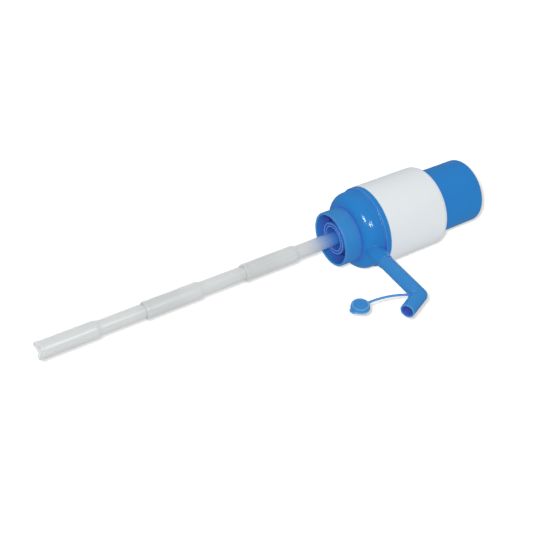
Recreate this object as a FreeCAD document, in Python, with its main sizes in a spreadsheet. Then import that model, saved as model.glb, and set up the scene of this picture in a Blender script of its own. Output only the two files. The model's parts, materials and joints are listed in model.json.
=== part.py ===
import FreeCAD, Part
import math
import os
import re
import Sketcher

# A hand pump for a returnable water jug: a sprung press cap works a piston in a cylinder,
# which draws water up three push-together tubes and sends it out of a turning spout.
# +Z runs up the pump's axis. The origin is on that axis, where the rim of the jug's neck
# stops against the gasket. The spout leaves towards -Y. Millimetres.

Vector = FreeCAD.Vector
Rotation = FreeCAD.Rotation
Constraint = Sketcher.Constraint

document = FreeCAD.newDocument("water_jug_hand_pump")
sheet = document.addObject("Spreadsheet::Sheet", "Dims")

# Driving dimensions: millimetres and degrees. Heights are measured from the origin.
DIMENSIONS = (
    # collar and what it holds
    ("collar_outer", 30.0),
    ("collar_bore", 27.4),
    ("collar_depth", 16.0),
    ("collar_top", 4.0),
    ("web_floor", 2.0),
    ("web_bore", 16.5),
    ("gasket_inner", 22.0),
    ("gasket_outer", 27.2),
    ("plug_depth", 12.5),
    ("plug_outer", 18.0),
    ("plug_rim", 1.5),
    ("plug_bore", 14.5),
    ("plug_flange", 21.6),
    ("plug_barrel", 16.0),
    ("plug_barrel_top", 11.0),
    # socket that grips the suction tube
    ("guide_outer", 14.3),
    ("guide_inner", 12.9),
    ("well_roof", 8.0),
    ("socket_flange", 15.8),
    ("socket_flange_thick", 2.2),
    ("socket_outer", 9.6),
    ("socket_groove", 8.4),
    ("socket_groove_foot", 19.0),
    ("socket_groove_width", 1.6),
    ("socket_stop", 26.0),
    ("water_way", 6.0),
    # lower housing
    ("dome_outer", 42.4),
    ("dome_round", 13.0),
    ("dome_inner", 39.0),
    ("floor_thick", 3.0),
    ("bead_outer", 44.2),
    ("bead_foot", 25.6),
    ("sleeve_foot", 32.0),
    ("spigot_outer", 40.3),
    ("spigot_top", 40.0),
    ("hub_outer", 19.5),
    ("hub_shoulder", 16.5),
    ("riser_outer", 13.0),
    ("riser_bore", 9.7),
    ("plate_floor", 30.0),
    # outlet
    ("spout_height", 14.2),
    ("duct_reach", 20.0),
    ("duct_bore", 3.5),
    ("duct_wall", 2.0),
    ("outlet_bore", 5.0),
    ("outlet_seat", 33.0),
    ("boss_bore", 6.9),
    ("boss_outer", 8.2),
    ("boss_root", 9.9),
    ("boss_blend", 1.5),
    ("boss_end", 59.0),
    # spout
    ("spout_outer", 7.7),
    ("spout_bore", 6.0),
    ("spout_lip", 0.75),
    ("spout_reach", 117.2),
    ("nozzle_length", 28.2),
    ("nozzle_drop", 63.2),
    ("spigot_start", 38.4),
    ("spigot_bore", 4.6),
    ("ring_groove", 5.6),
    ("ring_place", 45.0),
    # valves
    ("plate_outer", 38.5),
    ("plate_thick", 4.0),
    ("screw_circle", 35.0),
    ("post_outer", 3.2),
    ("post_foot", 7.6),
    ("pilot_depth", 12.0),
    ("screw_radius", 1.45),
    ("screw_bite", 10.0),
    ("screw_head", 3.1),
    ("screw_head_thick", 2.2),
    ("recess_arm", 3.4),
    ("recess_width", 0.9),
    ("recess_depth", 0.9),
    ("flap_outer", 8.3),
    ("flap_thick", 1.4),
    ("flap_lift", 2.1),
    ("cage_outer", 10.6),
    ("cage_inner", 8.9),
    ("cage_roof", 1.2),
    ("cage_eye", 2.4),
    ("cage_window", 8.0),
    ("cage_vent", 3.4),
    ("outlet_flap_outer", 6.2),
    ("outlet_flap_thick", 1.2),
    ("outlet_flap_lift", 1.6),
    # cylinder and plunger
    ("cylinder_bore", 24.0),
    ("cylinder_wall", 2.0),
    ("cylinder_top", 101.0),
    ("cover_skirt", 6.0),
    ("cover_plate", 2.2),
    ("cover_neck", 3.8),
    ("cover_vent", 2.0),
    ("vent_circle", 17.0),
    ("rod_outer", 8.2),
    ("rod_bore", 5.5),
    ("rod_neck", 5.0),
    ("piston_top", 94.0),
    ("piston_floor", 90.0),
    ("cup_floor", 87.0),
    ("cup_lip", 82.5),
    ("washer_outer", 14.0),
    ("washer_thick", 1.2),
    ("piston_screw_head", 3.4),
    ("piston_screw_head_thick", 2.0),
    ("piston_screw_length", 12.5),
    ("spring_mean", 30.0),
    ("spring_wire", 2.4),
    ("spring_turns", 9.0),
    ("spring_face_turns", 0.5),
    # sleeve and press cap
    ("sleeve_outer", 44.4),
    ("sleeve_draft", 0.6),
    ("sleeve_inner", 40.5),
    ("sleeve_top", 108.6),
    ("sleeve_round", 7.2),
    ("guide_bore", 36.1),
    ("guide_foot", 99.0),
    ("cap_outer", 35.6),
    ("cap_draft", 0.5),
    ("cap_inner", 33.0),
    ("cap_foot", 95.9),
    ("cap_flange", 38.9),
    ("cap_top", 162.6),
    ("cap_round", 5.0),
    ("cap_roof", 2.8),
    ("cap_socket", 9.0),
    ("dish_outer", 28.0),
    ("dish_depth", 0.8),
    # suction tubes
    ("tube_outer", 7.6),
    ("tube_bore", 6.2),
    ("bell_outer", 9.1),
    ("bell_bore", 7.65),
    ("bell_length", 60.0),
    ("bell_cone", 5.0),
    ("mouth_rim", 0.35),
    ("mouth_rim_length", 4.0),
    ("tube_pitch", 113.0),
    ("first_mouth", 123.0),
    ("tube_overlap", 40.0),
    ("tip_notch_radius", 8.0),
    ("tip_notch_depth", 2.4),
    ("tip_notch_turn", 44.0),
    # tether and dust cap
    ("tether_width", 2.6),
    ("tether_thick", 1.6),
    ("tether_bend", 79.0),
    ("tether_lean", 29.5),
    ("tether_root_out", 110.6),
    ("tether_root_up", 4.6),
    ("tether_bead", 1.5),
    ("knuckle_outer", 2.5),
    ("dust_outer", 9.5),
    ("dust_lug", 2.8),
    ("dust_bore", 7.85),
    ("dust_height", 4.7),
    ("dust_roof", 1.4),
    ("dust_round", 1.3),
    ("tab_reach", 2.9),
    ("tab_thick", 1.3),
)

for row, (alias, size) in enumerate(DIMENSIONS, start=1):
    sheet.set(f"A{row}", alias)
    sheet.set(f"B{row}", str(size))
    sheet.setAlias(f"B{row}", alias)
document.recompute()

bodies = []


def formula(text):
    """Turn "collar_outer - plug_rim" into an expression that reads the sheet."""
    return re.sub(r"\b[a-z]\w*\b(?!\()", r"Dims.\g<0>", text)


def size_of(text):
    """The present value of a formula."""
    return float(sheet.evalExpression(formula(text)))


def bind(item, settings):
    """Drive each named property of an object by a formula."""
    for path, text in settings.items():
        item.setExpression(path, formula(text))


def new_body(label, height="0", turn=None, across=None):
    """An empty body on the axis at a height, turned if asked, or moved across along Y."""
    body = document.addObject("PartDesign::Body", label)
    body.Label = label
    if turn:
        body.Placement = FreeCAD.Placement(Vector(), turn)
    bind(body, {"Placement.Base.z": height})
    if across:
        bind(body, {"Placement.Base.y": across})
    bodies.append(body)
    return body


def origin_item(body, role):
    """One of the body's own origin planes or axes."""
    return next(item for item in body.Origin.OriginFeatures if item.Role == role)


def new_sketch(body, plane, name):
    sketch = body.newObject("Sketcher::SketchObject", name)
    sketch.AttachmentSupport = [(origin_item(body, plane), "")]
    sketch.MapMode = "FlatFace"
    return sketch


def fix_point(sketch, point, across, up):
    """Hold a sketch point at a place given by two formulas."""
    for kind, text, axis in (("DistanceX", across, -2), ("DistanceY", up, -1)):
        if text == "0":
            sketch.addConstraint(Constraint("PointOnObject", point, 1, axis))
            continue
        rule = sketch.addConstraint(Constraint(kind, -1, 1, point, 1, size_of(text)))
        bind(sketch, {f"Constraints[{rule}]": text})


def corner_arc(before, corner, after, radius):
    """The arc that rounds a corner: its centre, start and end, and the way it turns."""
    arriving = (corner - before).normalize()
    leaving = (after - corner).normalize()
    turn = math.atan2(arriving.cross(leaving).z, arriving.dot(leaving))
    reach = radius * math.tan(abs(turn) / 2)
    start = corner - arriving * reach
    end = corner + leaving * reach
    side = math.copysign(1, turn)
    centre = start + Vector(-arriving.y, arriving.x, 0) * (radius * side)
    return centre, start, end, side


def draw_outline(sketch, corners):
    """Close an outline through corners (across, up) or (across, up, rounding radius)."""
    places = [Vector(size_of(item[0]), size_of(item[1]), 0) for item in corners]
    count = len(corners)
    arcs = {}
    for index, item in enumerate(corners):
        if len(item) == 3:
            arcs[index] = corner_arc(
                places[index - 1], places[index], places[(index + 1) % count], size_of(item[2])
            )
    starts = [arcs[i][2] if i in arcs else places[i] for i in range(count)]
    ends = [arcs[i][1] if i in arcs else places[i] for i in range(count)]
    lines = [
        sketch.addGeometry(Part.LineSegment(starts[i], ends[(i + 1) % count]))
        for i in range(count)
    ]
    for index, item in enumerate(corners):
        point = sketch.addGeometry(Part.Point(places[index]), True)
        fix_point(sketch, point, item[0], item[1])
        line_in = lines[index - 1]
        line_out = lines[index]
        if index not in arcs:
            sketch.addConstraint(Constraint("Coincident", line_in, 2, point, 1))
            sketch.addConstraint(Constraint("Coincident", line_out, 1, point, 1))
            continue
        centre, start, end, side = arcs[index]
        first, last = (start, end) if side > 0 else (end, start)
        circle = Part.Circle(centre, Vector(0, 0, 1), size_of(item[2]))
        angles = [math.atan2(p.y - centre.y, p.x - centre.x) for p in (first, last)]
        arc = sketch.addGeometry(Part.ArcOfCircle(circle, angles[0], angles[1]))
        arc_in, arc_out = (1, 2) if side > 0 else (2, 1)
        sketch.addConstraint(Constraint("PointOnObject", point, 1, line_in))
        sketch.addConstraint(Constraint("PointOnObject", point, 1, line_out))
        sketch.addConstraint(Constraint("Tangent", line_in, 2, arc, arc_in))
        sketch.addConstraint(Constraint("Tangent", line_out, 1, arc, arc_out))
        rule = sketch.addConstraint(Constraint("Radius", arc, size_of(item[2])))
        bind(sketch, {f"Constraints[{rule}]": item[2]})


def turn_outline(body, corners, plane="XZ_Plane", axis="V_Axis", cut=False):
    """Revolve an outline about a sketch axis, to add to the body or to cut it."""
    sketch = new_sketch(body, plane, "Outline")
    draw_outline(sketch, corners)
    kind = "PartDesign::Groove" if cut else "PartDesign::Revolution"
    feature = body.newObject(kind, "Turned")
    feature.Profile = sketch
    feature.ReferenceAxis = (sketch, [axis])
    feature.Angle = 360.0


def rod_feature(body, radius, length, place, turn=None, cut=False):
    """A cylinder added to or cut from a body, from a place (x, y, z) along its own Z."""
    kind = "PartDesign::SubtractiveCylinder" if cut else "PartDesign::AdditiveCylinder"
    feature = body.newObject(kind, "Round")
    if turn:
        feature.Placement = FreeCAD.Placement(Vector(), turn)
    bind(feature, {"Radius": radius, "Height": length})
    bind(feature, {f"Placement.Base.{axis}": text for axis, text in zip("xyz", place)})
    return feature


def box_feature(body, sizes, place, turn=None, cut=False):
    """A box added to or cut from a body, from its low corner."""
    kind = "PartDesign::SubtractiveBox" if cut else "PartDesign::AdditiveBox"
    feature = body.newObject(kind, "Block")
    if turn:
        feature.Placement = FreeCAD.Placement(Vector(), turn)
    bind(feature, dict(zip(("Length", "Width", "Height"), sizes)))
    bind(feature, {f"Placement.Base.{axis}": text for axis, text in zip("xyz", place)})
    return feature


def repeat_round(body, feature, count):
    """Repeat a feature evenly about the body's Z axis."""
    document.recompute()
    pattern = body.newObject("PartDesign::PolarPattern", "Ring")
    pattern.Originals = [feature]
    pattern.Axis = (origin_item(body, "Z_Axis"), [""])
    pattern.Angle = 360
    pattern.Occurrences = count
    body.Tip = pattern


def cross(body, bar, across, foot, cut=True, count=1):
    """Two crossed bars (length, width, depth), centred at a distance along Y, cut or added."""
    length, width, depth = bar
    for turn in (0, 90):
        corner = (f"-({length}) / 2", f"{across} - ({width}) / 2", foot)
        if turn:
            corner = (f"({width}) / 2", f"{across} - ({length}) / 2", foot)
        block = box_feature(
            body, (length, width, depth), corner, Rotation(Vector(0, 0, 1), turn), cut
        )
        if count > 1:
            repeat_round(body, block, count)


def ring(label, height, corners, turn=None, across=None):
    """A body that is one outline turned about Z."""
    body = new_body(label, height, turn, across)
    turn_outline(body, corners)
    return body


TO_FRONT = Rotation(Vector(1, 0, 0), 90)  # a feature's own Z pointing along -Y
FRONT_BODY = Rotation(Vector(0, 0, 1), 180)  # a body's own +Y pointing along -Y

# where the strap's lower end hangs, straight above the middle of the dust cap
TETHER_END_UP = "tether_root_up - tether_bend * sin(tether_lean) - 0.1"
TETHER_END_ACROSS = "-(tether_root_out - tether_bend * (1 - cos(tether_lean)))"


def neck_collar():
    """The blue socket that pushes down over the jug's neck."""
    ring("neck_collar", "-collar_depth", [
        ("collar_bore", "0", "collar_outer / 40"),
        ("collar_outer", "0", "collar_outer / 30"),
        ("collar_outer", "collar_depth + collar_top", "collar_outer / 40"),
        ("web_bore", "collar_depth + collar_top"),
        ("web_bore", "collar_depth + web_floor"),
        ("collar_bore", "collar_depth + web_floor"),
    ])


def neck_gasket():
    """Rubber ring that the rim of the neck seals against."""
    ring("neck_gasket", "0", [
        ("gasket_inner", "0", "web_floor / 5"),
        ("gasket_outer", "0", "web_floor / 5"),
        ("gasket_outer", "web_floor"),
        ("gasket_inner", "web_floor"),
    ])


def neck_plug():
    """Flanged ring inside the collar, screwed up into the housing to hold the collar on."""
    ring("neck_plug", "-plug_depth", [
        ("plug_bore", "plug_rim + 0.5"),
        ("plug_outer - plug_rim", "plug_rim + 0.5"),
        ("plug_outer - plug_rim", "0", "0.4"),
        ("plug_outer", "0", "0.5"),
        ("plug_outer", "plug_depth + 0.2"),
        ("plug_flange", "plug_depth + 0.2"),
        ("plug_flange", "plug_depth + web_floor"),
        ("plug_barrel", "plug_depth + web_floor"),
        ("plug_barrel", "plug_depth + plug_barrel_top"),
        ("plug_bore", "plug_depth + plug_barrel_top"),
    ])


def tube_socket():
    """Inner ring with the socket for the suction tube, clamped between plug and hub."""
    body = ring("tube_socket", "-plug_depth", [
        ("guide_inner", "0", "0.4"),
        ("guide_outer", "0", "0.4"),
        ("guide_outer", "plug_depth + plug_barrel_top"),
        ("socket_flange", "plug_depth + plug_barrel_top"),
        ("socket_flange", "plug_depth + plug_barrel_top + socket_flange_thick"),
        ("socket_outer", "plug_depth + plug_barrel_top + socket_flange_thick"),
        ("socket_outer", "plug_depth + plate_floor"),
        ("water_way", "plug_depth + plate_floor"),
        ("water_way", "plug_depth + socket_stop"),
        ("bell_bore", "plug_depth + socket_stop"),
        ("bell_bore", "plug_depth + well_roof", "0.8"),
        ("guide_inner", "plug_depth + well_roof", "1"),
    ])
    groove_roof = "plug_depth + socket_groove_foot + socket_groove_width"
    turn_outline(body, [
        ("socket_groove", "plug_depth + socket_groove_foot"),
        ("socket_outer + 1", "plug_depth + socket_groove_foot"),
        ("socket_outer + 1", groove_roof),
        ("socket_groove", groove_roof),
    ], cut=True)


def seal_ring(label, middle, thick, height, turn=None, across=None):
    """An O-ring: a round section of radius thick at a mean radius."""
    body = new_body(label, height, turn, across)
    torus = body.newObject("PartDesign::AdditiveTorus", "Section")
    bind(torus, {"Radius1": middle, "Radius2": thick})


def boss_seam(shape):
    """Names of the edges along which the outlet boss leaves the outside of the dome."""
    axis_height = size_of("spout_height - collar_top")
    outside = size_of("dome_inner + 1")
    names = []
    for number, edge in enumerate(shape.Edges, start=1):
        span = edge.ParameterRange
        points = [edge.valueAt(span[0] + (span[1] - span[0]) * part / 4) for part in range(5)]
        away = [math.hypot(point.x, point.z - axis_height) for point in points]
        near_boss = size_of("boss_outer") <= min(away) and max(away) <= size_of("boss_root")
        reach = -min(point.y for point in points)
        if near_boss and outside < reach < size_of("boss_end - 2"):
            names.append(f"Edge{number}")
    return names


def lower_housing():
    """Blue dome with its flange, the hub that takes the plug, the riser and the outlet."""
    body = ring("lower_housing", "collar_top", [
        ("plug_barrel + 0.1", "0"),
        ("dome_outer", "0", "dome_round"),
        ("dome_outer", "bead_foot - collar_top", "0.4"),
        ("bead_outer", "bead_foot - collar_top", "0.5"),
        ("bead_outer", "sleeve_foot - collar_top", "0.5"),
        ("spigot_outer", "sleeve_foot - collar_top"),
        ("spigot_outer", "spigot_top - collar_top", "0.4"),
        ("dome_inner", "spigot_top - collar_top", "0.4"),
        ("dome_inner", "floor_thick", "dome_round - floor_thick"),
        ("hub_outer", "floor_thick", "1"),
        ("hub_outer", "hub_shoulder - collar_top"),
        ("riser_outer", "hub_shoulder - collar_top"),
        ("riser_outer", "plate_floor - collar_top"),
        ("riser_bore", "plate_floor - collar_top"),
        ("riser_bore", "hub_shoulder - collar_top - 3"),
        ("plug_barrel + 0.1", "hub_shoulder - collar_top - 3"),
    ])
    # screw posts, one opposite the spout, standing on the inside of the dome's round
    post = rod_feature(
        body, "post_outer", "plate_floor - post_foot", ("0", "screw_circle", "post_foot - collar_top")
    )
    repeat_round(body, post, 3)
    # down duct and the boss that the spout turns in
    down = ("0", "-duct_reach", "spout_height - collar_top")
    rod_feature(body, "duct_bore + duct_wall", "plate_floor - spout_height", down)
    rod_feature(body, "outlet_bore + duct_wall", "boss_end - duct_reach - 8", down, TO_FRONT)
    boss = new_sketch(body, "YZ_Plane", "Boss")
    boss.AttachmentOffset = FreeCAD.Placement(Vector(), Rotation(Vector(0, 1, 0), 180))
    bind(boss, {"AttachmentOffset.Base.y": "spout_height - collar_top"})
    draw_outline(boss, [
        ("outlet_seat - 2", "0"),
        ("boss_end", "0"),
        ("boss_end", "boss_outer", "0.6"),
        ("outlet_seat - 2", "boss_root"),
    ])
    stub = body.newObject("PartDesign::Revolution", "BossTurned")
    stub.Profile = boss
    stub.ReferenceAxis = (boss, ["H_Axis"])
    stub.Angle = 360.0
    document.recompute()
    blend = body.newObject("PartDesign::Fillet", "BossBlend")
    blend.Base = (stub, boss_seam(stub.Shape))
    bind(blend, {"Radius": "boss_blend"})
    document.recompute()
    rod_feature(body, "duct_bore", "plate_floor - spout_height", down, cut=True)
    rod_feature(body, "outlet_bore", "boss_end - duct_reach", down, TO_FRONT, cut=True)
    seat = ("0", "-outlet_seat", "spout_height - collar_top")
    rod_feature(body, "boss_bore", "boss_end - outlet_seat", seat, TO_FRONT, cut=True)
    pilot = rod_feature(
        body, "screw_radius", "pilot_depth",
        ("0", "screw_circle", "plate_floor - collar_top - pilot_depth"), cut=True,
    )
    repeat_round(body, pilot, 3)


def valve_plate():
    """Floor of the cylinder: inlet hole, outlet hole, screw holes and the cylinder's cup."""
    body = ring("valve_plate", "plate_floor", [
        ("water_way", "0"),
        ("plate_outer", "0", "0.5"),
        ("plate_outer", "plate_thick", "0.5"),
        ("cylinder_bore + cylinder_wall + 2.2", "plate_thick"),
        ("cylinder_bore + cylinder_wall + 2.2", "plate_thick + 8", "0.6"),
        ("cylinder_bore + cylinder_wall + 0.1", "plate_thick + 8", "0.6"),
        ("cylinder_bore + cylinder_wall + 0.1", "plate_thick"),
        ("water_way", "plate_thick", "0.6"),
    ])
    rod_feature(body, "duct_bore", "plate_thick", ("0", "-duct_reach", "0"), cut=True)
    hole = rod_feature(
        body, "screw_radius + 0.3", "plate_thick", ("0", "screw_circle", "0"), cut=True
    )
    repeat_round(body, hole, 3)


def plate_screws():
    """Three pan-head screws that hold the plate down on the posts."""
    body = new_body("plate_screws", "plate_floor")
    body.AllowCompound = True
    shank = rod_feature(
        body, "screw_radius", "plate_thick + screw_bite", ("0", "screw_circle", "-screw_bite")
    )
    repeat_round(body, shank, 3)
    head = rod_feature(
        body, "screw_head", "screw_head_thick", ("0", "screw_circle", "plate_thick")
    )
    repeat_round(body, head, 3)
    cross(
        body, ("recess_arm", "recess_width", "recess_depth + 1"), "screw_circle",
        "plate_thick + screw_head_thick - recess_depth", count=3,
    )


def inlet_valve():
    """Rubber flap that lies over the inlet hole, and the cage that stops its lift."""
    ring("inlet_valve_flap", "plate_floor + plate_thick", [
        ("0", "0"),
        ("flap_outer", "0", "0.3"),
        ("flap_outer", "flap_thick", "0.3"),
        ("0", "flap_thick"),
    ])
    roof_foot = "flap_thick + flap_lift + 0.3"
    cage = ring("inlet_valve_cage", "plate_floor + plate_thick", [
        ("cage_inner", "0"),
        ("cage_outer", "0"),
        ("cage_outer", f"{roof_foot} + cage_roof", "cage_roof / 2"),
        ("cage_eye", f"{roof_foot} + cage_roof"),
        ("cage_eye", roof_foot),
        ("cage_inner", roof_foot),
    ])
    window = box_feature(
        cage, ("cage_window", "cage_outer", f"{roof_foot} - cage_roof"),
        ("-cage_window / 2", "cage_eye + 1", "cage_roof"), cut=True,
    )
    repeat_round(cage, window, 4)
    vent = box_feature(
        cage, ("cage_vent", "cage_inner - cage_eye - 2", "3 * cage_roof"),
        ("-cage_vent / 2", "cage_eye + 1", f"{roof_foot} - cage_roof"), cut=True,
    )
    repeat_round(cage, vent, 4)


def outlet_valve():
    """Rubber flap in the boss, and the spider ring that stops its travel."""
    ring("outlet_valve_flap", "spout_height", [
        ("0", "0"),
        ("outlet_flap_outer", "0", "0.3"),
        ("outlet_flap_outer", "outlet_flap_thick", "0.3"),
        ("0", "outlet_flap_thick"),
    ], TO_FRONT, "-outlet_seat")
    stop = ring("outlet_valve_stop", "spout_height", [
        ("spigot_bore + 0.6", "0"),
        ("boss_bore - 0.03", "0"),
        ("boss_bore - 0.03", "2.2"),
        ("spigot_bore + 0.6", "2.2"),
    ], TO_FRONT, "-(outlet_seat + outlet_flap_thick + outlet_flap_lift + 0.2)")
    cross(stop, ("2 * spigot_bore + 2", "1.6", "2.2"), "0", "0", cut=False)


def pump_cylinder():
    """Clear tube that the piston works in, its gasket, and the cover that guides the rod."""
    ring("cylinder_gasket", "plate_floor + plate_thick", [
        ("cylinder_bore + 0.3", "0"),
        ("cylinder_bore + cylinder_wall", "0"),
        ("cylinder_bore + cylinder_wall", "1.2"),
        ("cylinder_bore + 0.3", "1.2"),
    ])
    ring("pump_cylinder", "plate_floor + plate_thick + 1.2", [
        ("cylinder_bore", "0"),
        ("cylinder_bore + cylinder_wall", "0"),
        ("cylinder_bore + cylinder_wall", "cylinder_top - plate_floor - plate_thick - 1.2"),
        ("cylinder_bore", "cylinder_top - plate_floor - plate_thick - 1.2", "0.8"),
    ])
    shoulder = "cover_skirt + cover_plate"
    cover = ring("cylinder_cover", "cylinder_top - cover_skirt", [
        ("cylinder_bore + cylinder_wall + 0.05", "0", "0.4"),
        ("cylinder_bore + cylinder_wall + 1.6", "0", "0.4"),
        ("cylinder_bore + cylinder_wall + 1.6", shoulder, "0.8"),
        ("rod_outer + 2.4", shoulder),
        ("rod_outer + 2.4", f"{shoulder} + cover_neck", "0.5"),
        ("rod_outer + 0.1", f"{shoulder} + cover_neck"),
        ("rod_outer + 0.1", "cover_skirt"),
        ("cylinder_bore + cylinder_wall + 0.05", "cover_skirt"),
    ])
    vent = rod_feature(
        cover, "cover_vent", "cover_plate + 2", ("0", "vent_circle", "cover_skirt - 1"), cut=True
    )
    repeat_round(cover, vent, 6)


def piston_parts():
    """Piston, cup seal, clamping washer and screw, stacked on the rod's neck."""
    ring("piston", "piston_floor", [
        ("rod_neck + 0.03", "0"),
        ("cylinder_bore - 1", "0", "0.5"),
        ("cylinder_bore - 1", "piston_top - piston_floor", "0.5"),
        ("cylinder_bore - 4", "piston_top - piston_floor"),
        ("cylinder_bore - 5", "1.8"),
        ("rod_outer + 3", "1.8"),
        ("rod_outer + 2", "piston_top - piston_floor"),
        ("rod_neck + 0.03", "piston_top - piston_floor"),
    ])
    ring("piston_cup", "cup_lip", [
        ("rod_neck + 0.03", "cup_floor - cup_lip"),
        ("cylinder_bore - 4", "cup_floor - cup_lip", "1.2"),
        ("cylinder_bore - 1.6", "0"),
        ("cylinder_bore - 0.1", "0"),
        ("cylinder_bore - 0.6", "piston_floor - cup_lip", "0.8"),
        ("rod_neck + 0.03", "piston_floor - cup_lip"),
    ])
    ring("piston_washer", "cup_floor - washer_thick", [
        ("screw_radius + 0.2", "0"),
        ("washer_outer", "0", "0.4"),
        ("washer_outer", "washer_thick"),
        ("screw_radius + 0.2", "washer_thick"),
    ])
    screw_tip = "piston_screw_head_thick + piston_screw_length"
    screw = ring("piston_screw", "cup_floor - washer_thick - piston_screw_head_thick", [
        ("0", "0"),
        ("piston_screw_head", "0", "0.8"),
        ("piston_screw_head", "piston_screw_head_thick"),
        ("screw_radius", "piston_screw_head_thick"),
        ("screw_radius", f"{screw_tip} - 1"),
        ("0", screw_tip),
    ])
    cross(screw, ("recess_arm", "recess_width", "recess_depth + 1"), "0", "-1")
    ring("piston_rod", "cup_floor", [
        ("screw_radius + 0.03", "0"),
        ("rod_neck", "0", "0.4"),
        ("rod_neck", "piston_top - cup_floor"),
        ("rod_outer", "piston_top - cup_floor", "0.4"),
        ("rod_outer", "cap_top - cap_roof - cup_floor", "0.4"),
        ("rod_bore", "cap_top - cap_roof - cup_floor"),
        ("rod_bore", "17"),
        ("screw_radius + 0.03", "15"),
    ])


def return_spring():
    """Compression spring standing around the cylinder, between the plate and the cap."""
    path = document.addObject("Part::Helix", "SpringPath")
    height = "cap_top - cap_roof - plate_floor - plate_thick - spring_wire - 0.1"
    bind(path, {
        "Radius": "spring_mean",
        "Height": height,
        "Pitch": f"({height}) / spring_turns",
        "SegmentLength": "spring_face_turns",
        "Placement.Base.z": "plate_floor + plate_thick + spring_wire / 2 + 0.05",
    })
    wire = document.addObject("Part::Circle", "SpringWire")
    wire.Placement = FreeCAD.Placement(Vector(), TO_FRONT)
    bind(wire, {
        "Radius": "spring_wire / 2",
        "Placement.Base.x": "spring_mean",
        "Placement.Base.z": "plate_floor + plate_thick + spring_wire / 2 + 0.05",
    })
    coil = document.addObject("Part::Sweep", "return_spring")
    coil.Label = "return_spring"
    coil.Sections = [wire]
    coil.Spine = (path, [])
    coil.Solid = True
    coil.Frenet = True
    bodies.append(coil)


def barrel_sleeve():
    """White outer sleeve with a rounded shoulder and the inner ring that guides the cap."""
    ring("barrel_sleeve", "sleeve_foot", [
        ("sleeve_inner", "0"),
        ("sleeve_outer", "0", "0.4"),
        ("sleeve_outer - sleeve_draft", "sleeve_top - sleeve_foot", "sleeve_round"),
        ("guide_bore", "sleeve_top - sleeve_foot", "0.3"),
        ("guide_bore", "guide_foot - sleeve_foot", "0.4"),
        ("guide_bore + 2.5", "guide_foot - sleeve_foot"),
        ("guide_bore + 2.5", "sleeve_top - sleeve_foot - 6"),
        ("sleeve_inner", "sleeve_top - sleeve_foot - 6", "1.2"),
    ])


def press_cap():
    """Blue cap that the hand presses, with a stop flange and a socket for the rod."""
    ring("press_cap", "cap_foot", [
        ("cap_inner", "0"),
        ("cap_flange", "0", "0.4"),
        ("cap_flange", "2.8", "0.4"),
        ("cap_outer", "2.8"),
        ("cap_outer - cap_draft", "cap_top - cap_foot", "cap_round"),
        ("dish_outer", "cap_top - cap_foot", "1.5"),
        ("dish_outer - 2", "cap_top - cap_foot - dish_depth", "1.5"),
        ("0", "cap_top - cap_foot - dish_depth"),
        ("0", "cap_top - cap_foot - cap_roof"),
        ("rod_outer + 0.05", "cap_top - cap_foot - cap_roof"),
        ("rod_outer + 0.05", "cap_top - cap_foot - cap_roof - cap_socket", "0.4"),
        ("rod_outer + 2.2", "cap_top - cap_foot - cap_roof - cap_socket", "0.4"),
        ("rod_outer + 2.2", "cap_top - cap_foot - cap_roof"),
        ("cap_inner", "cap_top - cap_foot - cap_roof", "1.4"),
    ])


def spout():
    """Turning spout: a spigot with an O-ring groove, a straight tube and a bent nozzle."""
    body = new_body("spout", "spout_height", FRONT_BODY)
    turn_outline(body, [
        ("spigot_start", "0"),
        ("spout_reach", "0"),
        ("spout_reach", "spout_outer"),
        ("boss_end + 0.3", "spout_outer", "0.5"),
        ("boss_end + 0.3", "boss_bore - 0.08"),
        ("ring_place + 0.8", "boss_bore - 0.08"),
        ("ring_place + 0.8", "ring_groove"),
        ("ring_place - 0.8", "ring_groove"),
        ("ring_place - 0.8", "boss_bore - 0.08"),
        ("spigot_start", "boss_bore - 0.08", "0.6"),
    ], "YZ_Plane", "H_Axis")
    elbow = body.newObject("PartDesign::AdditiveSphere", "Elbow")
    bind(elbow, {"Radius": "spout_outer", "Placement.Base.y": "spout_reach"})
    place_nozzle(body, "spout_outer", "nozzle_length", False)
    root = ("tether_root_out", "tether_root_up - spout_height")
    rod_feature(body, "knuckle_outer", "tether_thick + 0.8",
                ("-tether_thick / 2 - 0.4", *root), Rotation(Vector(0, 1, 0), 90))
    turn_outline(body, [
        ("spigot_start", "0"),
        ("spout_reach", "0"),
        ("spout_reach", "spout_bore"),
        ("boss_end + 3", "spout_bore", "2"),
        ("boss_end", "spigot_bore", "2"),
        ("spigot_start", "spigot_bore"),
    ], "YZ_Plane", "H_Axis", cut=True)
    bend = body.newObject("PartDesign::SubtractiveSphere", "Bend")
    bind(bend, {"Radius": "spout_bore", "Placement.Base.y": "spout_reach"})
    place_nozzle(body, "spout_bore", "nozzle_length", True)
    rod_feature(body, "tether_bead + 0.15", "4", ("-2", *root), Rotation(Vector(0, 1, 0), 90),
                cut=True)
    mouth = new_sketch(body, "YZ_Plane", "KnuckleMouth")
    bind(mouth, {
        "AttachmentOffset.Base.x": "tether_root_out",
        "AttachmentOffset.Base.y": "tether_root_up - spout_height",
    })
    # a wedge from the bead's middle, as wide as the strap's swing
    draw_outline(mouth, [
        ("0", "0"),
        ("-4", "0.3"),
        ("-2.2", "-5"),
        ("3.4", "-2"),
    ])
    opened = body.newObject("PartDesign::Pocket", "KnuckleOpened")
    opened.Profile = mouth
    opened.Midplane = True
    bind(opened, {"Length": "2 * tether_width"})


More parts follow.
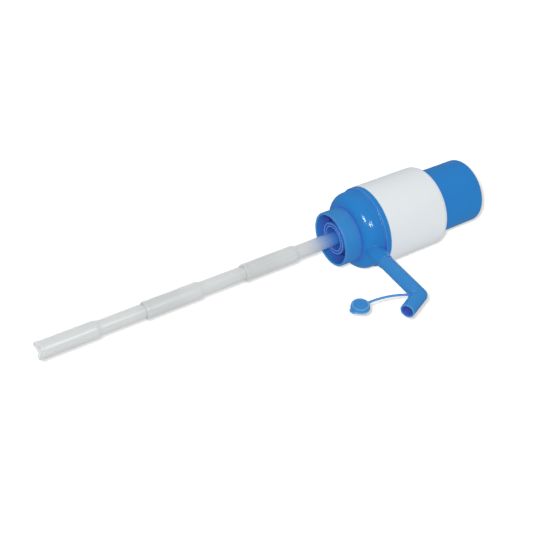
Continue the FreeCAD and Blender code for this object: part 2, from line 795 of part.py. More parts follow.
def place_nozzle(body, radius, length, cut):
    """The nozzle's outer cylinder or its bore, each with the lip's rounding at its end."""
    sketch = new_sketch(body, "YZ_Plane", "Nozzle")
    sketch.AttachmentOffset = FreeCAD.Placement(
        Vector(size_of("spout_reach"), 0, 0), Rotation(Vector(0, 0, 1), -size_of("nozzle_drop"))
    )
    bind(sketch, {
        "AttachmentOffset.Base.x": "spout_reach",
        "AttachmentOffset.Rotation.Angle": "-nozzle_drop",
    })
    flare = [(f"{length} + 1", "0"), (f"{length} + 1", f"{radius} + 1"), (length, f"{radius} + 1")]
    draw_outline(sketch, [
        ("0", "0"),
        *(flare if cut else [(length, "0")]),
        (length, radius, "spout_lip"),
        ("0", radius),
    ])
    kind = "PartDesign::Groove" if cut else "PartDesign::Revolution"
    feature = body.newObject(kind, "NozzleTurned")
    feature.Profile = sketch
    feature.ReferenceAxis = (sketch, ["H_Axis"])
    feature.Angle = 360.0


def tether():
    """Moulded strap that hangs from the elbow's inner corner: a bead and a bar bent to an arc."""
    body = new_body("tether_strap", "tether_root_up - tether_bend * sin(tether_lean)",
                    Rotation(Vector(1, 0, 0), size_of("tether_lean")))
    bind(body, {
        "Placement.Base.y": "-(tether_root_out + tether_bend * cos(tether_lean))",
        "Placement.Rotation.Angle": "tether_lean",
    })
    sketch = new_sketch(body, "XY_Plane", "Section")
    draw_outline(sketch, [
        ("-tether_thick / 2", "tether_bend - tether_width / 2", "0.3"),
        ("tether_thick / 2", "tether_bend - tether_width / 2", "0.3"),
        ("tether_thick / 2", "tether_bend + tether_width / 2", "0.3"),
        ("-tether_thick / 2", "tether_bend + tether_width / 2", "0.3"),
    ])
    strap = body.newObject("PartDesign::Revolution", "Strap")
    strap.Profile = sketch
    strap.ReferenceAxis = (sketch, ["H_Axis"])
    strap.Reversed = True
    bind(strap, {"Angle": "tether_lean"})
    rod_feature(body, "tether_bead", "tether_thick", ("-tether_thick / 2", "tether_bend", "0"),
                Rotation(Vector(0, 1, 0), 90))


def dust_cap():
    """Push-on cap for the nozzle: a lug above for the strap and a thumb tab below."""
    body = new_body("dust_cap", f"{TETHER_END_UP} - dust_outer - dust_lug",
                    Rotation(Vector(0, 1, 0), 90), TETHER_END_ACROSS)
    bind(body, {"Placement.Base.x": "-dust_height / 2"})
    turn_outline(body, [
        ("0", "0"),
        ("dust_outer", "0", "dust_round"),
        ("dust_outer", "dust_height", "0.3"),
        ("dust_bore", "dust_height", "0.3"),
        ("dust_bore", "dust_roof", "0.4"),
        ("0", "dust_roof"),
    ])
    box_feature(body, ("dust_lug + 0.6", "tether_width", "tether_thick"),
                ("-dust_outer - dust_lug", "-tether_width / 2", "(dust_height - tether_thick) / 2"))
    tab = new_sketch(body, "XY_Plane", "Tab")
    bind(tab, {"AttachmentOffset.Base.z": "dust_height - tab_thick"})
    draw_outline(tab, [
        ("0.45 * dust_outer", "-0.87 * dust_outer"),
        ("dust_outer + tab_reach / 6", "-0.8 * dust_outer", "1.8"),
        ("dust_outer + tab_reach", "-0.6 * dust_outer", "1.8"),
        ("dust_outer + 0.8 * tab_reach", "0.8", "1.5"),
        ("0.85 * dust_outer", "0.36 * dust_outer"),
    ])
    pad = body.newObject("PartDesign::Pad", "ThumbTab")
    pad.Profile = tab
    bind(pad, {"Length": "tab_thick"})


def suction_tubes():
    """Three clear tubes, each with a bell below and a spigot above, pushed together."""
    names = ("suction_tube_upper", "suction_tube_middle", "suction_tube_lower")
    for step, name in enumerate(names):
        top = "socket_stop" if step == 0 else f"tube_overlap - first_mouth - tube_pitch * {step - 1}"
        mouth = f"first_mouth + tube_pitch * {step}"
        length = f"{top} - 0.3 + {mouth}"
        turned = Rotation(Vector(0, 0, 1), size_of("tip_notch_turn"))
        body = ring(name, f"-({mouth})", [
            ("bell_bore", "0", "0.3"),
            ("bell_outer + mouth_rim", "0", "0.4"),
            ("bell_outer + mouth_rim", "mouth_rim_length", "0.3"),
            ("bell_outer", "mouth_rim_length", "0.3"),
            ("bell_outer", "bell_length", "4"),
            ("tube_outer", "bell_length + bell_cone", "4"),
            ("tube_outer", length, "0.3"),
            ("tube_bore", length, "0.3"),
            ("tube_bore", "bell_length + bell_cone - 0.5", "3"),
            ("bell_bore", "bell_length - 0.5", "3"),
        ], turned)
        if step == 2:
            rod_feature(
                body, "tip_notch_radius", "3 * bell_outer",
                ("-1.5 * bell_outer", "0", "tip_notch_depth - tip_notch_radius"),
                Rotation(Vector(0, 1, 0), 90), cut=True,
            )


neck_collar()
neck_gasket()
neck_plug()
tube_socket()
seal_ring(
    "tube_o_ring", "(socket_groove + riser_bore) / 2", "(riser_bore - socket_groove) / 2 - 0.02",
    "socket_groove_foot + socket_groove_width / 2",
)
lower_housing()
valve_plate()
plate_screws()
inlet_valve()
outlet_valve()
pump_cylinder()
piston_parts()
return_spring()
barrel_sleeve()
press_cap()
spout()
seal_ring(
    "spout_o_ring", "(ring_groove + boss_bore) / 2", "(boss_bore - ring_groove) / 2 - 0.02",
    "spout_height", TO_FRONT, "-ring_place",
)
tether()
dust_cap()
suction_tubes()
document.recompute()

faults = [item.Name for item in document.Objects if {"Invalid", "Error"} & set(item.State)]
if faults:
    raise RuntimeError(f"failed objects: {faults}")
for body in bodies:
    if body.Shape.isNull() or not body.Shape.isValid():
        raise RuntimeError(f"bad shape: {body.Label}")

os.makedirs("parts", exist_ok=True)
for body in bodies:
    body.Shape.exportStep(f"parts/{body.Label}.step")
    print(f"{body.Label}: {len(body.Shape.Solids)} solid, {body.Shape.Volume:.0f} mm3")
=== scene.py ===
import json
import math

import bmesh
import bpy
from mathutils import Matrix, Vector


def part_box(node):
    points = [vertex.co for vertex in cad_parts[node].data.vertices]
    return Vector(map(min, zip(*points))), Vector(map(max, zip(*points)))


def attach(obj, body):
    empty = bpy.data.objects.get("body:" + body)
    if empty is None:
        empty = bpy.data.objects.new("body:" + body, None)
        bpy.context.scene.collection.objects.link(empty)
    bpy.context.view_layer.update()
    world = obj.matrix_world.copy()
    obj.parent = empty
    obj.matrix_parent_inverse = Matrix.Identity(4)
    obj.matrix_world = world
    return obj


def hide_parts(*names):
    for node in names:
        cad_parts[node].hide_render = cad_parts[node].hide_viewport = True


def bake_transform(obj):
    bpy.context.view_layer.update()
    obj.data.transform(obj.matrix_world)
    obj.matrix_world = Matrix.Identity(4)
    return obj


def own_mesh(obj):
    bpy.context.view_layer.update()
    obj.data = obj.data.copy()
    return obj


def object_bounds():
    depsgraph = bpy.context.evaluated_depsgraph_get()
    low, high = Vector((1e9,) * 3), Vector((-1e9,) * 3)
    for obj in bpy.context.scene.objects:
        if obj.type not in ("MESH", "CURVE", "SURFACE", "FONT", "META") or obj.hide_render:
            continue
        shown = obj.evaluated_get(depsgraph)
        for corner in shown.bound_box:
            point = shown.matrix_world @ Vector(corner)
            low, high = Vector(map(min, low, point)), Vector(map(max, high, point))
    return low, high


# A hand pump for a water jug, on its side over a pale table. The pump's axis is Z,
# its spout leaves towards -Y, and the table is behind it, at +X. Lengths are in millimetres
# where a name ends in _MM and in the sizes of the new pieces, and in metres elsewhere.

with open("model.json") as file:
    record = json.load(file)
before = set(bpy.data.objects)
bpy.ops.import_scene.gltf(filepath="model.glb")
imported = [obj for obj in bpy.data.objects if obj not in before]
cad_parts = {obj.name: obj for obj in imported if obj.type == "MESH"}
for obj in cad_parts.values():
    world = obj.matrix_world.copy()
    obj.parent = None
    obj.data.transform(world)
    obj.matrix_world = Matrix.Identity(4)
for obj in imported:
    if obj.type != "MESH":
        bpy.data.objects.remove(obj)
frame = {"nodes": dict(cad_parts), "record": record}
cad_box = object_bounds()
bpy.ops.object.select_all(action="DESELECT")
scene = bpy.context.scene
scene.view_settings.view_transform = "Standard"

MM = 0.001
PUMP_MIDDLE = (cad_box[0] + cad_box[1]) / 2


# ---------------------------------------------------------------- nodes

def add(tree, kind, settings=None):
    """Add a node. Its settings are options by name, and inputs that take a constant or a link."""
    node = tree.nodes.new(kind)
    for name, value in (settings or {}).items():
        if isinstance(value, bpy.types.NodeSocket):
            tree.links.new(value, node.inputs[name])
        elif isinstance(name, int) or name in node.inputs:
            node.inputs[name].default_value = value
        else:
            setattr(node, name, value)
    return node


def blank_tree(owner):
    """The emptied node tree of a material or a world."""
    owner.use_nodes = True
    owner.node_tree.nodes.clear()
    return owner.node_tree


def linear(code):
    """An sRGB hex colour as linear red, green, blue and alpha."""
    levels = [int(code[place:place + 2], 16) / 255 for place in (1, 3, 5)]
    return [c / 12.92 if c <= 0.04045 else ((c + 0.055) / 1.055) ** 2.4 for c in levels] + [1.0]


# ---------------------------------------------------------------- camera, room and table

PICTURE_SIDE = 533
FOCAL_PIXELS = 1200
EYE = Vector((-813.9, -786.5, -595.2)) * MM
EYE_TURN = [math.radians(angle) for angle in (141.0329, -58.7332, -92.6813)]

ROOM_LIGHT = 0.58
ROOM_MIRRORED = 0.40
MIRRORED_BLUE = "#A4C4E4"

TABLE_SIDE = 6
TABLE_GREY = "#626261"
TABLE_GLOW = 0.57
TABLE_BEHIND_MM = 76


def make_camera():
    """A long lens, a little over a metre from the pump."""
    data = bpy.data.cameras.new("camera")
    data.lens = data.sensor_width * FOCAL_PIXELS / PICTURE_SIDE
    camera = bpy.data.objects.new("camera", data)
    camera.location = EYE
    camera.rotation_euler = EYE_TURN
    scene.collection.objects.link(camera)
    scene.camera = camera
    bpy.context.view_layer.update()
    return camera.matrix_world.to_3x3()


def make_world():
    """White where it is seen or looked through, dimmer where it lights, pale blue in gloss."""
    world = bpy.data.worlds.new("studio")
    scene.world = world
    tree = blank_tree(world)
    path = add(tree, "ShaderNodeLightPath")
    seen = add(tree, "ShaderNodeMath", {
        "operation": "MAXIMUM",
        0: path.outputs["Is Camera Ray"], 1: path.outputs["Is Transmission Ray"]})
    mirrored = add(tree, "ShaderNodeMath", {
        "operation": "MULTIPLY", 0: path.outputs["Is Glossy Ray"], 1: ROOM_MIRRORED})
    shown = add(tree, "ShaderNodeMath", {
        "operation": "MAXIMUM", 0: seen.outputs[0], 1: mirrored.outputs[0]})
    lights = add(tree, "ShaderNodeMath", {
        "operation": "MULTIPLY", 0: path.outputs["Is Diffuse Ray"], 1: ROOM_LIGHT})
    level = add(tree, "ShaderNodeMath", {
        "operation": "MAXIMUM", 0: shown.outputs[0], 1: lights.outputs[0]})
    tint = add(tree, "ShaderNodeMix", {
        "data_type": "RGBA", 0: path.outputs["Is Glossy Ray"],
        6: linear("#FFFFFF"), 7: linear(MIRRORED_BLUE)})
    room = add(tree, "ShaderNodeBackground", {
        "Color": tint.outputs[2], "Strength": level.outputs[0]})
    add(tree, "ShaderNodeOutputWorld", {"Surface": room.outputs[0]})


def make_table():
    """The pale table, just past the reach of the turning spout's cap. Its back is see-through."""
    bpy.ops.mesh.primitive_plane_add(size=TABLE_SIDE, location=(TABLE_BEHIND_MM * MM, 0, 0),
                                     rotation=(0, -math.pi / 2, 0))
    table = bpy.context.object
    table.name = "table"
    bpy.ops.object.transform_apply(location=True, rotation=True)
    paper = bpy.data.materials.new("white_table_paper")
    tree = blank_tree(paper)
    facing = add(tree, "ShaderNodeNewGeometry")
    sheet = add(tree, "ShaderNodeBsdfDiffuse", {"Color": linear(TABLE_GREY)})
    glow = add(tree, "ShaderNodeEmission", {"Color": linear("#FFFFFF"), "Strength": TABLE_GLOW})
    lit = add(tree, "ShaderNodeAddShader", {0: sheet.outputs[0], 1: glow.outputs[0]})
    clear = add(tree, "ShaderNodeBsdfTransparent")
    side = add(tree, "ShaderNodeMixShader", {
        0: facing.outputs["Backfacing"], 1: lit.outputs[0], 2: clear.outputs[0]})
    add(tree, "ShaderNodeOutputMaterial", {"Surface": side.outputs[0]})
    table.data.materials.append(paper)
    table.visible_shadow = False
    table.visible_diffuse = False
    table.visible_glossy = False
    return table


# ---------------------------------------------------------------- lamps

LAMP_AWAY = 1.6
GLEAM_AWAY = 1.3
FILL_SIZE = 1.0
SHADOW_LAMP_RIGHT_MM = -36
SHADOW_LAMP_UP_MM = 29
DOME_MM = Vector((-20, -30, 10))
LOW_TUBE_MM = Vector((0, 0, -290))


def softbox(name, towards, size, level, distance=LAMP_AWAY, gleam_on=None):
    """A round lamp that gives a white surface facing it the stated level.

    It is aimed at the pump's middle and only lights. A gleam is seen only in gloss instead, and
    is aimed at the place that gleam_on gives in millimetres.
    """
    data = bpy.data.lights.new(name, "AREA")
    data.shape = "DISK"
    data.size = size
    data.energy = level * (math.pi * distance) ** 2
    lamp = bpy.data.objects.new(name, data)
    direction = Vector(towards).normalized()
    aim = gleam_on * MM if gleam_on else PUMP_MIDDLE
    lamp.location = aim + direction * distance
    lamp.rotation_euler = direction.to_track_quat("Z", "Y").to_euler()
    lamp.visible_camera = False
    lamp.visible_glossy = bool(gleam_on)
    if gleam_on:
        lamp.visible_diffuse = False
        lamp.visible_transmission = False
        data.cycles.cast_shadow = False
    scene.collection.objects.link(lamp)
    return lamp


def make_table_lamp(right, up, table):
    """A lamp for the table alone, close beside the eye, which leaves the pump's narrow shadow.

    Its light doesn't fade with distance, so the table stays white to its corners.
    """
    shift = (SHADOW_LAMP_UP_MM * up + SHADOW_LAMP_RIGHT_MM * right) * MM
    towards = EYE + shift - PUMP_MIDDLE
    lamp = softbox("table_lamp", towards, 0.05, 4.8, towards.length)
    lamp.data.use_nodes = True
    tree = lamp.data.node_tree
    steady = add(tree, "ShaderNodeLightFalloff", {"Strength": 1.0})
    tree.links.new(steady.outputs["Constant"], tree.nodes["Emission"].inputs["Strength"])
    alone = bpy.data.collections.new("table_alone")
    alone.objects.link(table)
    lamp.light_linking.receiver_collection = alone


def make_lights(axes, table):
    """A soft key beside the camera, fills for the other sides, and gleams for the gloss."""
    right, up, back = axes.col[0], axes.col[1], axes.col[2]
    softbox("key", back - 0.035 * right + 0.055 * up, 0.07, 0.45)
    make_table_lamp(right, up, table)
    softbox("fill_far", -back, FILL_SIZE, 0.30)
    softbox("fill_above", up, FILL_SIZE, 0.16)
    softbox("fill_below", -up, FILL_SIZE, 0.21)
    softbox("fill_left", -right, FILL_SIZE, 0.15)
    softbox("fill_right", right, FILL_SIZE, 0.08)
    softbox("gleam_left", (-0.683, -0.237, -0.691), 0.34, 0.60, GLEAM_AWAY, DOME_MM)
    softbox("gleam_right", (-0.677, -0.676, -0.291), 0.16, 0.26, GLEAM_AWAY, DOME_MM)
    softbox("gleam_tube", (-0.70, -0.68, 0.24), 0.30, 0.30, GLEAM_AWAY, LOW_TUBE_MM)


# ---------------------------------------------------------------- materials

CLOUD_MM = 22
HANDLED_MM = 6
DRAWN_LINE_MM = 2.4
# Reach of the painted shade in folds and bores, and width of the painted highlight along thin
# edges.
FOLD_SHADE_REACH_MM = 14
EDGE_HIGHLIGHT_WIDTH_MM = 2.0
# Where the painted blue light of the tube's socket fades in along the tube, and how far its
# streaks reach.
SOCKET_LIGHT_FROM_MM, SOCKET_LIGHT_TO_MM, SOCKET_LIGHT_STREAK_MM = -42, 2, 16
# Colour of the painted violet shade in folds and bores.
FOLD_SHADE_BLUE = "#5470D6"


def grains(size_mm):
    """The scale that makes a pattern's grain that many millimetres wide."""
    return 1 / (size_mm * MM)


def paint_fold_shade_and_edge_highlight(tree, tint, fold_shade, edge_highlight):
    """Paint a violet shade into a colour in folds and bores, found by occlusion, and a pale
    highlight along thin outer edges.
    """
    # Painted shade: a violet tint where occlusion finds a fold or a bore.
    openness = add(tree, "ShaderNodeAmbientOcclusion", {
        "samples": 8, "Distance": FOLD_SHADE_REACH_MM * MM})
    depth = add(tree, "ShaderNodeMapRange", {
        "Value": openness.outputs["AO"], "From Min": 0.80, "From Max": 0.30})
    fold_shaded = add(tree, "ShaderNodeMix", {
        "data_type": "RGBA", 0: depth.outputs[0], 6: tint, 7: linear(fold_shade)})
    # Painted highlight: a paler colour along thin edges that face the open.
    rounded = add(tree, "ShaderNodeBevel", {"samples": 8, "Radius": EDGE_HIGHLIGHT_WIDTH_MM * MM})
    flat = add(tree, "ShaderNodeNewGeometry")
    turn = add(tree, "ShaderNodeVectorMath", {
        "operation": "DOT_PRODUCT", 0: rounded.outputs[0], 1: flat.outputs["Normal"]})
    sharp = add(tree, "ShaderNodeMapRange", {
        "Value": turn.outputs["Value"], "From Min": 0.985, "From Max": 0.90})
    outer = add(tree, "ShaderNodeMapRange", {
        "Value": openness.outputs["AO"], "From Min": 0.55, "From Max": 0.85})
    edge_highlight_mask = add(tree, "ShaderNodeMath", {
        "operation": "MULTIPLY", 0: sharp.outputs[0], 1: outer.outputs[0]})
    edge_highlighted = add(tree, "ShaderNodeMix", {
        "data_type": "RGBA", 0: edge_highlight_mask.outputs[0], 6: fold_shaded.outputs[2], 7: linear(edge_highlight)})
    return edge_highlighted.outputs[2]


def plastic(name, colour, cloud, roughness, grain_mm, grain_depth_mm,
            fold_shade=None, edge_highlight=None, constants=None):
    """Moulded plastic: a colour with a faint cloud, uneven gloss and a moulded grain.

    cloud is the colour at the cloud's far end. The fold and edge colours are painted shade in its
    folds and bores, and a painted highlight along its thin outer edges. constants go on the
    shader as they are.
    """
    material = bpy.data.materials.new(name)
    tree = blank_tree(material)
    place = add(tree, "ShaderNodeTexCoord").outputs["Object"]
    drift = add(tree, "ShaderNodeTexNoise", {
        "Vector": place, "Scale": grains(CLOUD_MM), "Detail": 3.0})
    tint = add(tree, "ShaderNodeMix", {
        "data_type": "RGBA", 0: drift.outputs["Fac"],
        6: linear(colour), 7: linear(cloud)}).outputs[2]
    if fold_shade:
        tint = paint_fold_shade_and_edge_highlight(tree, tint, fold_shade, edge_highlight)
    handled = add(tree, "ShaderNodeTexNoise", {
        "Vector": place, "Scale": grains(HANDLED_MM), "Detail": 2.0})
    gloss = add(tree, "ShaderNodeMapRange", {
        "Value": handled.outputs["Fac"], "From Min": 0.3, "From Max": 0.7,
        "To Min": roughness * 0.85, "To Max": roughness * 1.15})
    skin = add(tree, "ShaderNodeTexNoise", {
        "Vector": place, "Scale": grains(grain_mm), "Detail": 2.0})
    relief = add(tree, "ShaderNodeBump", {
        "Height": skin.outputs["Fac"], "Strength": 1.0, "Distance": grain_depth_mm * MM})
    surface = add(tree, "ShaderNodeBsdfPrincipled", {
        "Base Color": tint, "Roughness": gloss.outputs[0], "Normal": relief.outputs[0],
        "IOR": 1.49, "Specular IOR Level": 0.3, **(constants or {})})
    add(tree, "ShaderNodeOutputMaterial", {"Surface": surface.outputs[0]})
    return material


def tubing(name, colour, cloud, socket_light):
    """Extruded tube: drawn lines along its length, see-through walls, and painted blue light from
    its socket near its top.
    """
    material = bpy.data.materials.new(name)
    tree = blank_tree(material)
    place = add(tree, "ShaderNodeTexCoord").outputs["Object"]
    drawn = add(tree, "ShaderNodeMapping", {"Vector": place, "Scale": (1.0, 1.0, 0.02)})
    lines = add(tree, "ShaderNodeTexNoise", {
        "Vector": drawn.outputs[0], "Scale": grains(DRAWN_LINE_MM), "Detail": 3.0})
    tint = add(tree, "ShaderNodeMix", {
        "data_type": "RGBA", 0: lines.outputs["Fac"], 6: linear(colour), 7: linear(cloud)})
    # The top of the tube is painted blue with the light of its socket, in streaks along the drawn
    # lines.
    height = add(tree, "ShaderNodeSeparateXYZ", {"Vector": place})
    streaky = add(tree, "ShaderNodeMath", {
        "operation": "MULTIPLY_ADD",
        0: lines.outputs["Fac"], 1: SOCKET_LIGHT_STREAK_MM * MM, 2: height.outputs["Z"]})
    socket_light_mask = add(tree, "ShaderNodeMapRange", {
        "interpolation_type": "SMOOTHSTEP", "Value": streaky.outputs[0],
        "From Min": SOCKET_LIGHT_FROM_MM * MM, "From Max": SOCKET_LIGHT_TO_MM * MM})
    blue = add(tree, "ShaderNodeMix", {
        "data_type": "RGBA", 0: socket_light_mask.outputs[0], 6: tint.outputs[2], 7: linear(socket_light)})
    relief = add(tree, "ShaderNodeBump", {
        "Height": lines.outputs["Fac"], "Strength": 1.0, "Distance": 0.02 * MM})
    surface = add(tree, "ShaderNodeBsdfPrincipled", {
        "Base Color": blue.outputs[2], "Normal": relief.outputs[0],
        "IOR": 1.51, "Roughness": 0.30, "Alpha": 0.56})
    add(tree, "ShaderNodeOutputMaterial", {"Surface": surface.outputs[0]})
    return material


def make_materials():
    """Every finish of the pump, by the record's material slot."""
    return {
        # High-gloss moulded ABS: sharp gleams on a deep even blue, with painted violet shade in
        # its folds and painted highlights along its thin edges.
        "gloss_blue": plastic("moulded_abs_gloss_blue", "#267CC5", "#2A80C9",
                              0.17, 1.6, 0.002, FOLD_SHADE_BLUE, "#6FAEE2"),
        # Moulded polypropylene from a finely blasted mould: soft broad gleams, faint grain,
        # painted violet shade in its folds and painted highlights along its thin edges.
        "satin_blue": plastic("moulded_polypropylene_blue", "#2F82C6", "#3587CB",
                              0.34, 0.7, 0.012, FOLD_SHADE_BLUE, "#86BEEA"),
        # White ABS with a satin skin: cool white, soft edge to every gleam.
        "white_sleeve": plastic("moulded_abs_satin_white", "#E0E5E8", "#E4E8EB",
                                0.55, 0.8, 0.004),
        # Extruded low-density polyethylene: milky, and clear enough to show what is inside. Its
        # top is painted blue with the light of its socket.
        "frosted_tube": tubing("extruded_polyethylene_frosted", "#DCDFDF", "#EEF0EF", "#3494EA"),
        # Clear moulded polystyrene of the cylinder: smooth and colourless.
        "clear_cylinder": plastic("moulded_polystyrene_clear", "#EEF3F5", "#F2F5F6",
                                  0.08, 2.0, 0.001, constants={"Transmission Weight": 0.95}),
        # Moulded acetal of the inner works: opaque, slightly warm, waxy white.
        "inner_white": plastic("moulded_acetal_white", "#E4E4DE", "#E9E9E4", 0.42, 0.6, 0.006),
        # Moulded silicone ring, dark blue, with the dull bloom that silicone keeps.
        "seal_blue": plastic("moulded_silicone_blue", "#2B3F93", "#31469A", 0.55, 0.5, 0.008),
        # Moulded nitrile rubber: near black, matt.
        "seal_rubber": plastic("moulded_nitrile_rubber", "#232326", "#2B2B2E", 0.62, 0.4, 0.010),
        # Stainless steel screws and washer: bright, fine turning marks.
        "screw_steel": plastic("stainless_steel_screw", "#B8B8B5", "#C2C2BF",
                               0.30, 0.3, 0.003, constants={"Metallic": 1.0}),
        # Drawn steel wire of the return spring: a little greyer than the screws.
        "spring_steel": plastic("drawn_steel_wire", "#A6A6A4", "#B2B2B0",
                                0.34, 0.3, 0.004, constants={"Metallic": 1.0}),
    }


# ---------------------------------------------------------------- making and fitting pieces

NEAR_MM = 0.01
DOUBLES_MM = 0.002
SMOOTH_UNDER = math.radians(40)


def start_piece(name):
    """Name the primitive just added, put its place in its mesh and open it, all selected."""
    piece = bpy.context.object
    piece.name = name
    bpy.ops.object.transform_apply(location=True, rotation=True, scale=True)
    bpy.ops.object.mode_set(mode="EDIT")
    bpy.ops.mesh.select_all(action="SELECT")
    return piece


def pick(piece, test):
    """Select the vertices whose place, in millimetres, passes the test, and the edges between."""
    mesh = bmesh.from_edit_mesh(piece.data)
    bpy.ops.mesh.select_all(action="DESELECT")
    bpy.ops.mesh.select_mode(type="VERT")
    for corner in mesh.verts:
        if test(corner.co / MM):
            corner.select_set(True)
    mesh.select_flush(True)
    bmesh.update_edit_mesh(piece.data)


def at_height(height):
    """A test for the vertices at one height."""
    return lambda at: abs(at.z - height) < NEAR_MM


def on_ring(radius, height):
    """A test for the vertices of one ring about Z."""
    return lambda at: abs(at.z - height) < NEAR_MM and abs(at.xy.length - radius) < NEAR_MM


def finish_piece(piece):
    """Merge doubles, point the faces outwards, smooth them, and leave nothing selected."""
    bpy.ops.mesh.select_all(action="SELECT")
    bpy.ops.mesh.remove_doubles(threshold=DOUBLES_MM * MM)
    bpy.ops.mesh.normals_make_consistent(inside=False)
    bpy.ops.object.mode_set(mode="OBJECT")
    bpy.ops.object.transform_apply(location=True, rotation=True, scale=True)
    bpy.ops.object.shade_smooth_by_angle(angle=SMOOTH_UNDER)
    bpy.ops.object.select_all(action="DESELECT")


def join(piece, other):
    """Join another piece into this one, and leave it selected."""
    other.select_set(True)
    piece.select_set(True)
    bpy.context.view_layer.objects.active = piece
    bpy.ops.object.join()


def turned(name, corners, steps):
    """A shape turned about Z, from pole to pole, open for more shaping.

    corners are (radius, height, rounding) in mm. A circle is extruded from corner to corner,
    the loops with a rounding are bevelled, and the two poles are merged.
    """
    radius, height, _ = corners[0]
    bpy.ops.mesh.primitive_circle_add(vertices=steps, radius=radius * MM,
                                      location=(0, 0, height * MM))
    piece = start_piece(name)
    for (radius, height, _), (next_radius, next_height, _) in zip(corners, corners[1:]):
        rise = (next_height - height) * MM
        bpy.ops.mesh.extrude_region_move(TRANSFORM_OT_translate={"value": (0, 0, rise)})
        growth = next_radius / radius
        bpy.ops.transform.resize(value=(growth, growth, 1),
                                 center_override=(0, 0, next_height * MM))
    for before, (radius, height, rounding), after in zip(corners, corners[1:], corners[2:]):
        if rounding:
            inward = math.atan2(height - before[1], radius - before[0])
            outward = math.atan2(after[1] - height, after[0] - radius)
            bend = abs((outward - inward + math.pi) % (2 * math.pi) - math.pi)
            pick(piece, on_ring(radius, height))
            bpy.ops.mesh.bevel(offset=rounding * math.tan(bend / 2) * MM, segments=6,
                               affect="EDGES")
    for radius, height, _ in (corners[0], corners[-1]):
        pick(piece, on_ring(radius, height))
        bpy.ops.mesh.merge(type="CENTER")
    return piece


def dress(piece, node_name):
    """Give a piece the finish and the slot of the node that it stands for."""
    piece.data.materials.clear()
    piece.data.materials.append(finishes[slots[node_name]])
    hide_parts(node_name)


# ---------------------------------------------------------------- the return spring

def make_spring():
    """Return spring: a wire wound in nine turns, with its ends ground flat."""
    low, high = (corner.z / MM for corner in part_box("return_spring"))
    wire, turns, mean, press_travel = 2.4, 9, 30.0, 42.0
    bpy.ops.mesh.primitive_circle_add(vertices=12, radius=wire / 2 * MM,
                                      location=(mean * MM, 0, (low + wire / 4) * MM),
                                      rotation=(math.pi / 2, 0, 0))
    spring = start_piece("return_spring_coil")
    bpy.ops.object.mode_set(mode="OBJECT")
    winding = spring.modifiers.new("winding", "SCREW")
    winding.axis = "Z"
    winding.steps = winding.render_steps = 64
    winding.iterations = turns
    winding.screw_offset = (high - low - wire / 2) / turns * MM
    bpy.ops.object.modifier_apply(modifier=winding.name)
    bpy.ops.object.mode_set(mode="EDIT")
    for height, clear_below in ((low, True), (high, False)):
        bpy.ops.mesh.select_all(action="SELECT")
        bpy.ops.mesh.bisect(plane_co=(0, 0, height * MM), plane_no=(0, 0, 1), use_fill=True,
                            clear_inner=clear_below, clear_outer=not clear_below)
    bpy.ops.mesh.select_all(action="SELECT")
    bpy.ops.mesh.select_non_manifold(extend=False)
    bpy.ops.mesh.edge_face_add()
    finish_piece(spring)
    dress(spring, "return_spring")
    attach(spring, "pump_body")
    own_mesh(spring)


# ---------------------------------------------------------------- the dust cap and its strap

DUST_CAP_MIDDLE_MM = -46.7
STRAP_END_ACROSS_MM = -100.36
BEAD_MM = Vector((0, -110.6, 4.6))


def turned_cap():
    """The cap lying face down: a crowned face in a raised lip, and a skirt with a snap bead."""
    pole, outer, flange, bore = 0.4, 9.5, 10.0, 7.85
    tall, roof = 4.7, 1.4
    face = [(pole, 0.0, 0), (7.7, 0.12, 0.5), (8.1, 0.45, 0.3), (8.6, 0.02, 0.5),
            (outer, 0.4, 0.9)]
    skirt = [(outer, tall - 1.3, 0.3), (flange, tall - 1.0, 0.2), (flange, tall, 0.3),
             (bore, tall, 0.3)]
    inside = [(bore, 3.6, 0.2), (bore - 0.15, 3.3, 0.2), (bore, 3.0, 0.2), (bore, roof, 0.4),
              (pole, roof, 0)]
    cap = turned("dust_cap_moulding", face + skirt + inside, 96)
    finish_piece(cap)
    return cap, tall, bore


def thumb_tab(low, high, cut_at):
    """An oval tab with rounded rims, cut off square where the skirt's wall begins."""
    middle = (9.1 * MM, -0.9 * MM, low * MM)
    bpy.ops.mesh.primitive_circle_add(vertices=40, radius=1 * MM, fill_type="NGON",
                                      location=middle)
    tab = start_piece("dust_cap_tab")
    bpy.ops.transform.resize(value=(3.7, 4.3, 1), center_override=middle)
    bpy.ops.mesh.extrude_region_move(TRANSFORM_OT_translate={"value": (0, 0, (high - low) * MM)})
    for height in (low, high):
        pick(tab, at_height(height))
        bpy.ops.mesh.bevel(offset=0.35 * MM, segments=4, affect="EDGES")
    bpy.ops.mesh.select_all(action="SELECT")
    bpy.ops.mesh.bisect(plane_co=(cut_at * MM, 0, 0), plane_no=(1, 0, 0), use_fill=True,
                        clear_inner=True)
    finish_piece(tab)
    return tab


def make_dust_cap():
    """Push-on cap with its thumb tab, turned upright to hang at the strap's end."""
    cap, tall, bore = turned_cap()
    join(cap, thumb_tab(tall - 1.35, tall - 0.1, bore + 0.3))
    low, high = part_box("dust_cap")
    cap.rotation_euler = (0, math.pi / 2, 0)
    cap.location = (low.x, (low.y + high.y) / 2, DUST_CAP_MIDDLE_MM * MM)
    bpy.ops.object.transform_apply(location=True, rotation=True)
    bpy.ops.object.select_all(action="DESELECT")
    dress(cap, "dust_cap")
    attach(cap, "nozzle_cap")


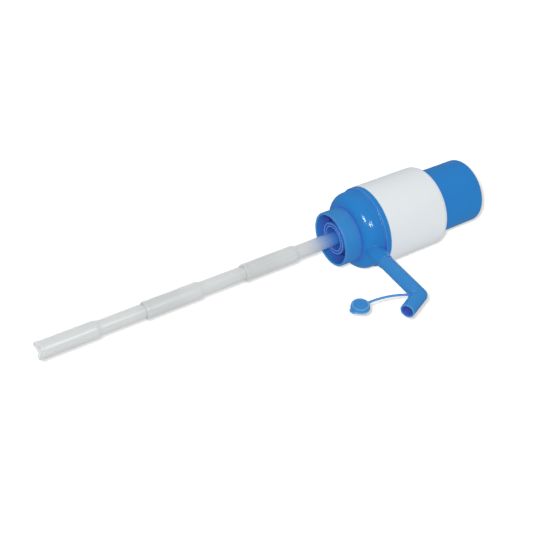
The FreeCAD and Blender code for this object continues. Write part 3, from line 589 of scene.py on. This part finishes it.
def strap_bar(thick, end_up):
    """The bent bar: a rounded section spun up along its arc, and drawn down to a wider foot."""
    wide, bend, lean = 2.6, 79.0, math.radians(29.5)
    end = (0, STRAP_END_ACROSS_MM * MM, end_up * MM)
    bpy.ops.mesh.primitive_plane_add(size=1, location=end)
    strap = start_piece("tether_strap_moulding")
    bpy.ops.transform.resize(value=(thick * MM, wide * MM, 1), center_override=end)
    bpy.ops.mesh.bevel(offset=0.5 * MM, segments=4, affect="VERTICES")
    bpy.ops.mesh.delete(type="ONLY_FACE")
    bpy.ops.mesh.select_all(action="SELECT")
    bpy.ops.mesh.spin(steps=40, angle=-lean, axis=(1, 0, 0),
                      center=(0, (STRAP_END_ACROSS_MM - bend) * MM, end_up * MM))
    bpy.ops.mesh.edge_face_add()
    pick(strap, at_height(end_up))
    for drop, growth in ((1.6, 1.0), (0.9, 1.25), (0.7, 1.5)):
        bpy.ops.mesh.extrude_region_move(TRANSFORM_OT_translate={"value": (0, 0, -drop * MM)})
        bpy.ops.transform.resize(value=(1, growth, 1),
                                 center_override=(0, STRAP_END_ACROSS_MM * MM, 0))
    bpy.ops.mesh.edge_face_add()
    finish_piece(strap)
    return strap


def strap_bead(thick):
    """The round bead at the strap's root, in the elbow's corner."""
    bpy.ops.mesh.primitive_cylinder_add(vertices=40, radius=1.5 * MM, depth=thick * MM,
                                        location=BEAD_MM * MM, rotation=(0, math.pi / 2, 0))
    bead = start_piece("tether_bead")
    for side in (-1, 1):
        pick(bead, lambda at: abs(at.x - side * thick / 2) < NEAR_MM)
        bpy.ops.mesh.bevel(offset=0.4 * MM, segments=4, affect="EDGES")
    finish_piece(bead)
    return bead


def make_tether():
    """Strap that is moulded with its cap."""
    thick = 1.6
    strap = strap_bar(thick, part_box("tether_strap")[0].z / MM)
    join(strap, strap_bead(thick))
    bpy.ops.object.select_all(action="DESELECT")
    dress(strap, "tether_strap")
    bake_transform(strap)


# ---------------------------------------------------------------- the whole scene

axes = make_camera()
make_world()
make_lights(axes, make_table())
finishes = make_materials()
slots = {item["node"]: item["material_slot"] for item in frame["record"]["subparts"]}
for node_name, node in frame["nodes"].items():
    node.data.materials.clear()
    node.data.materials.append(finishes[slots[node_name]])
make_spring()
make_dust_cap()
make_tether()
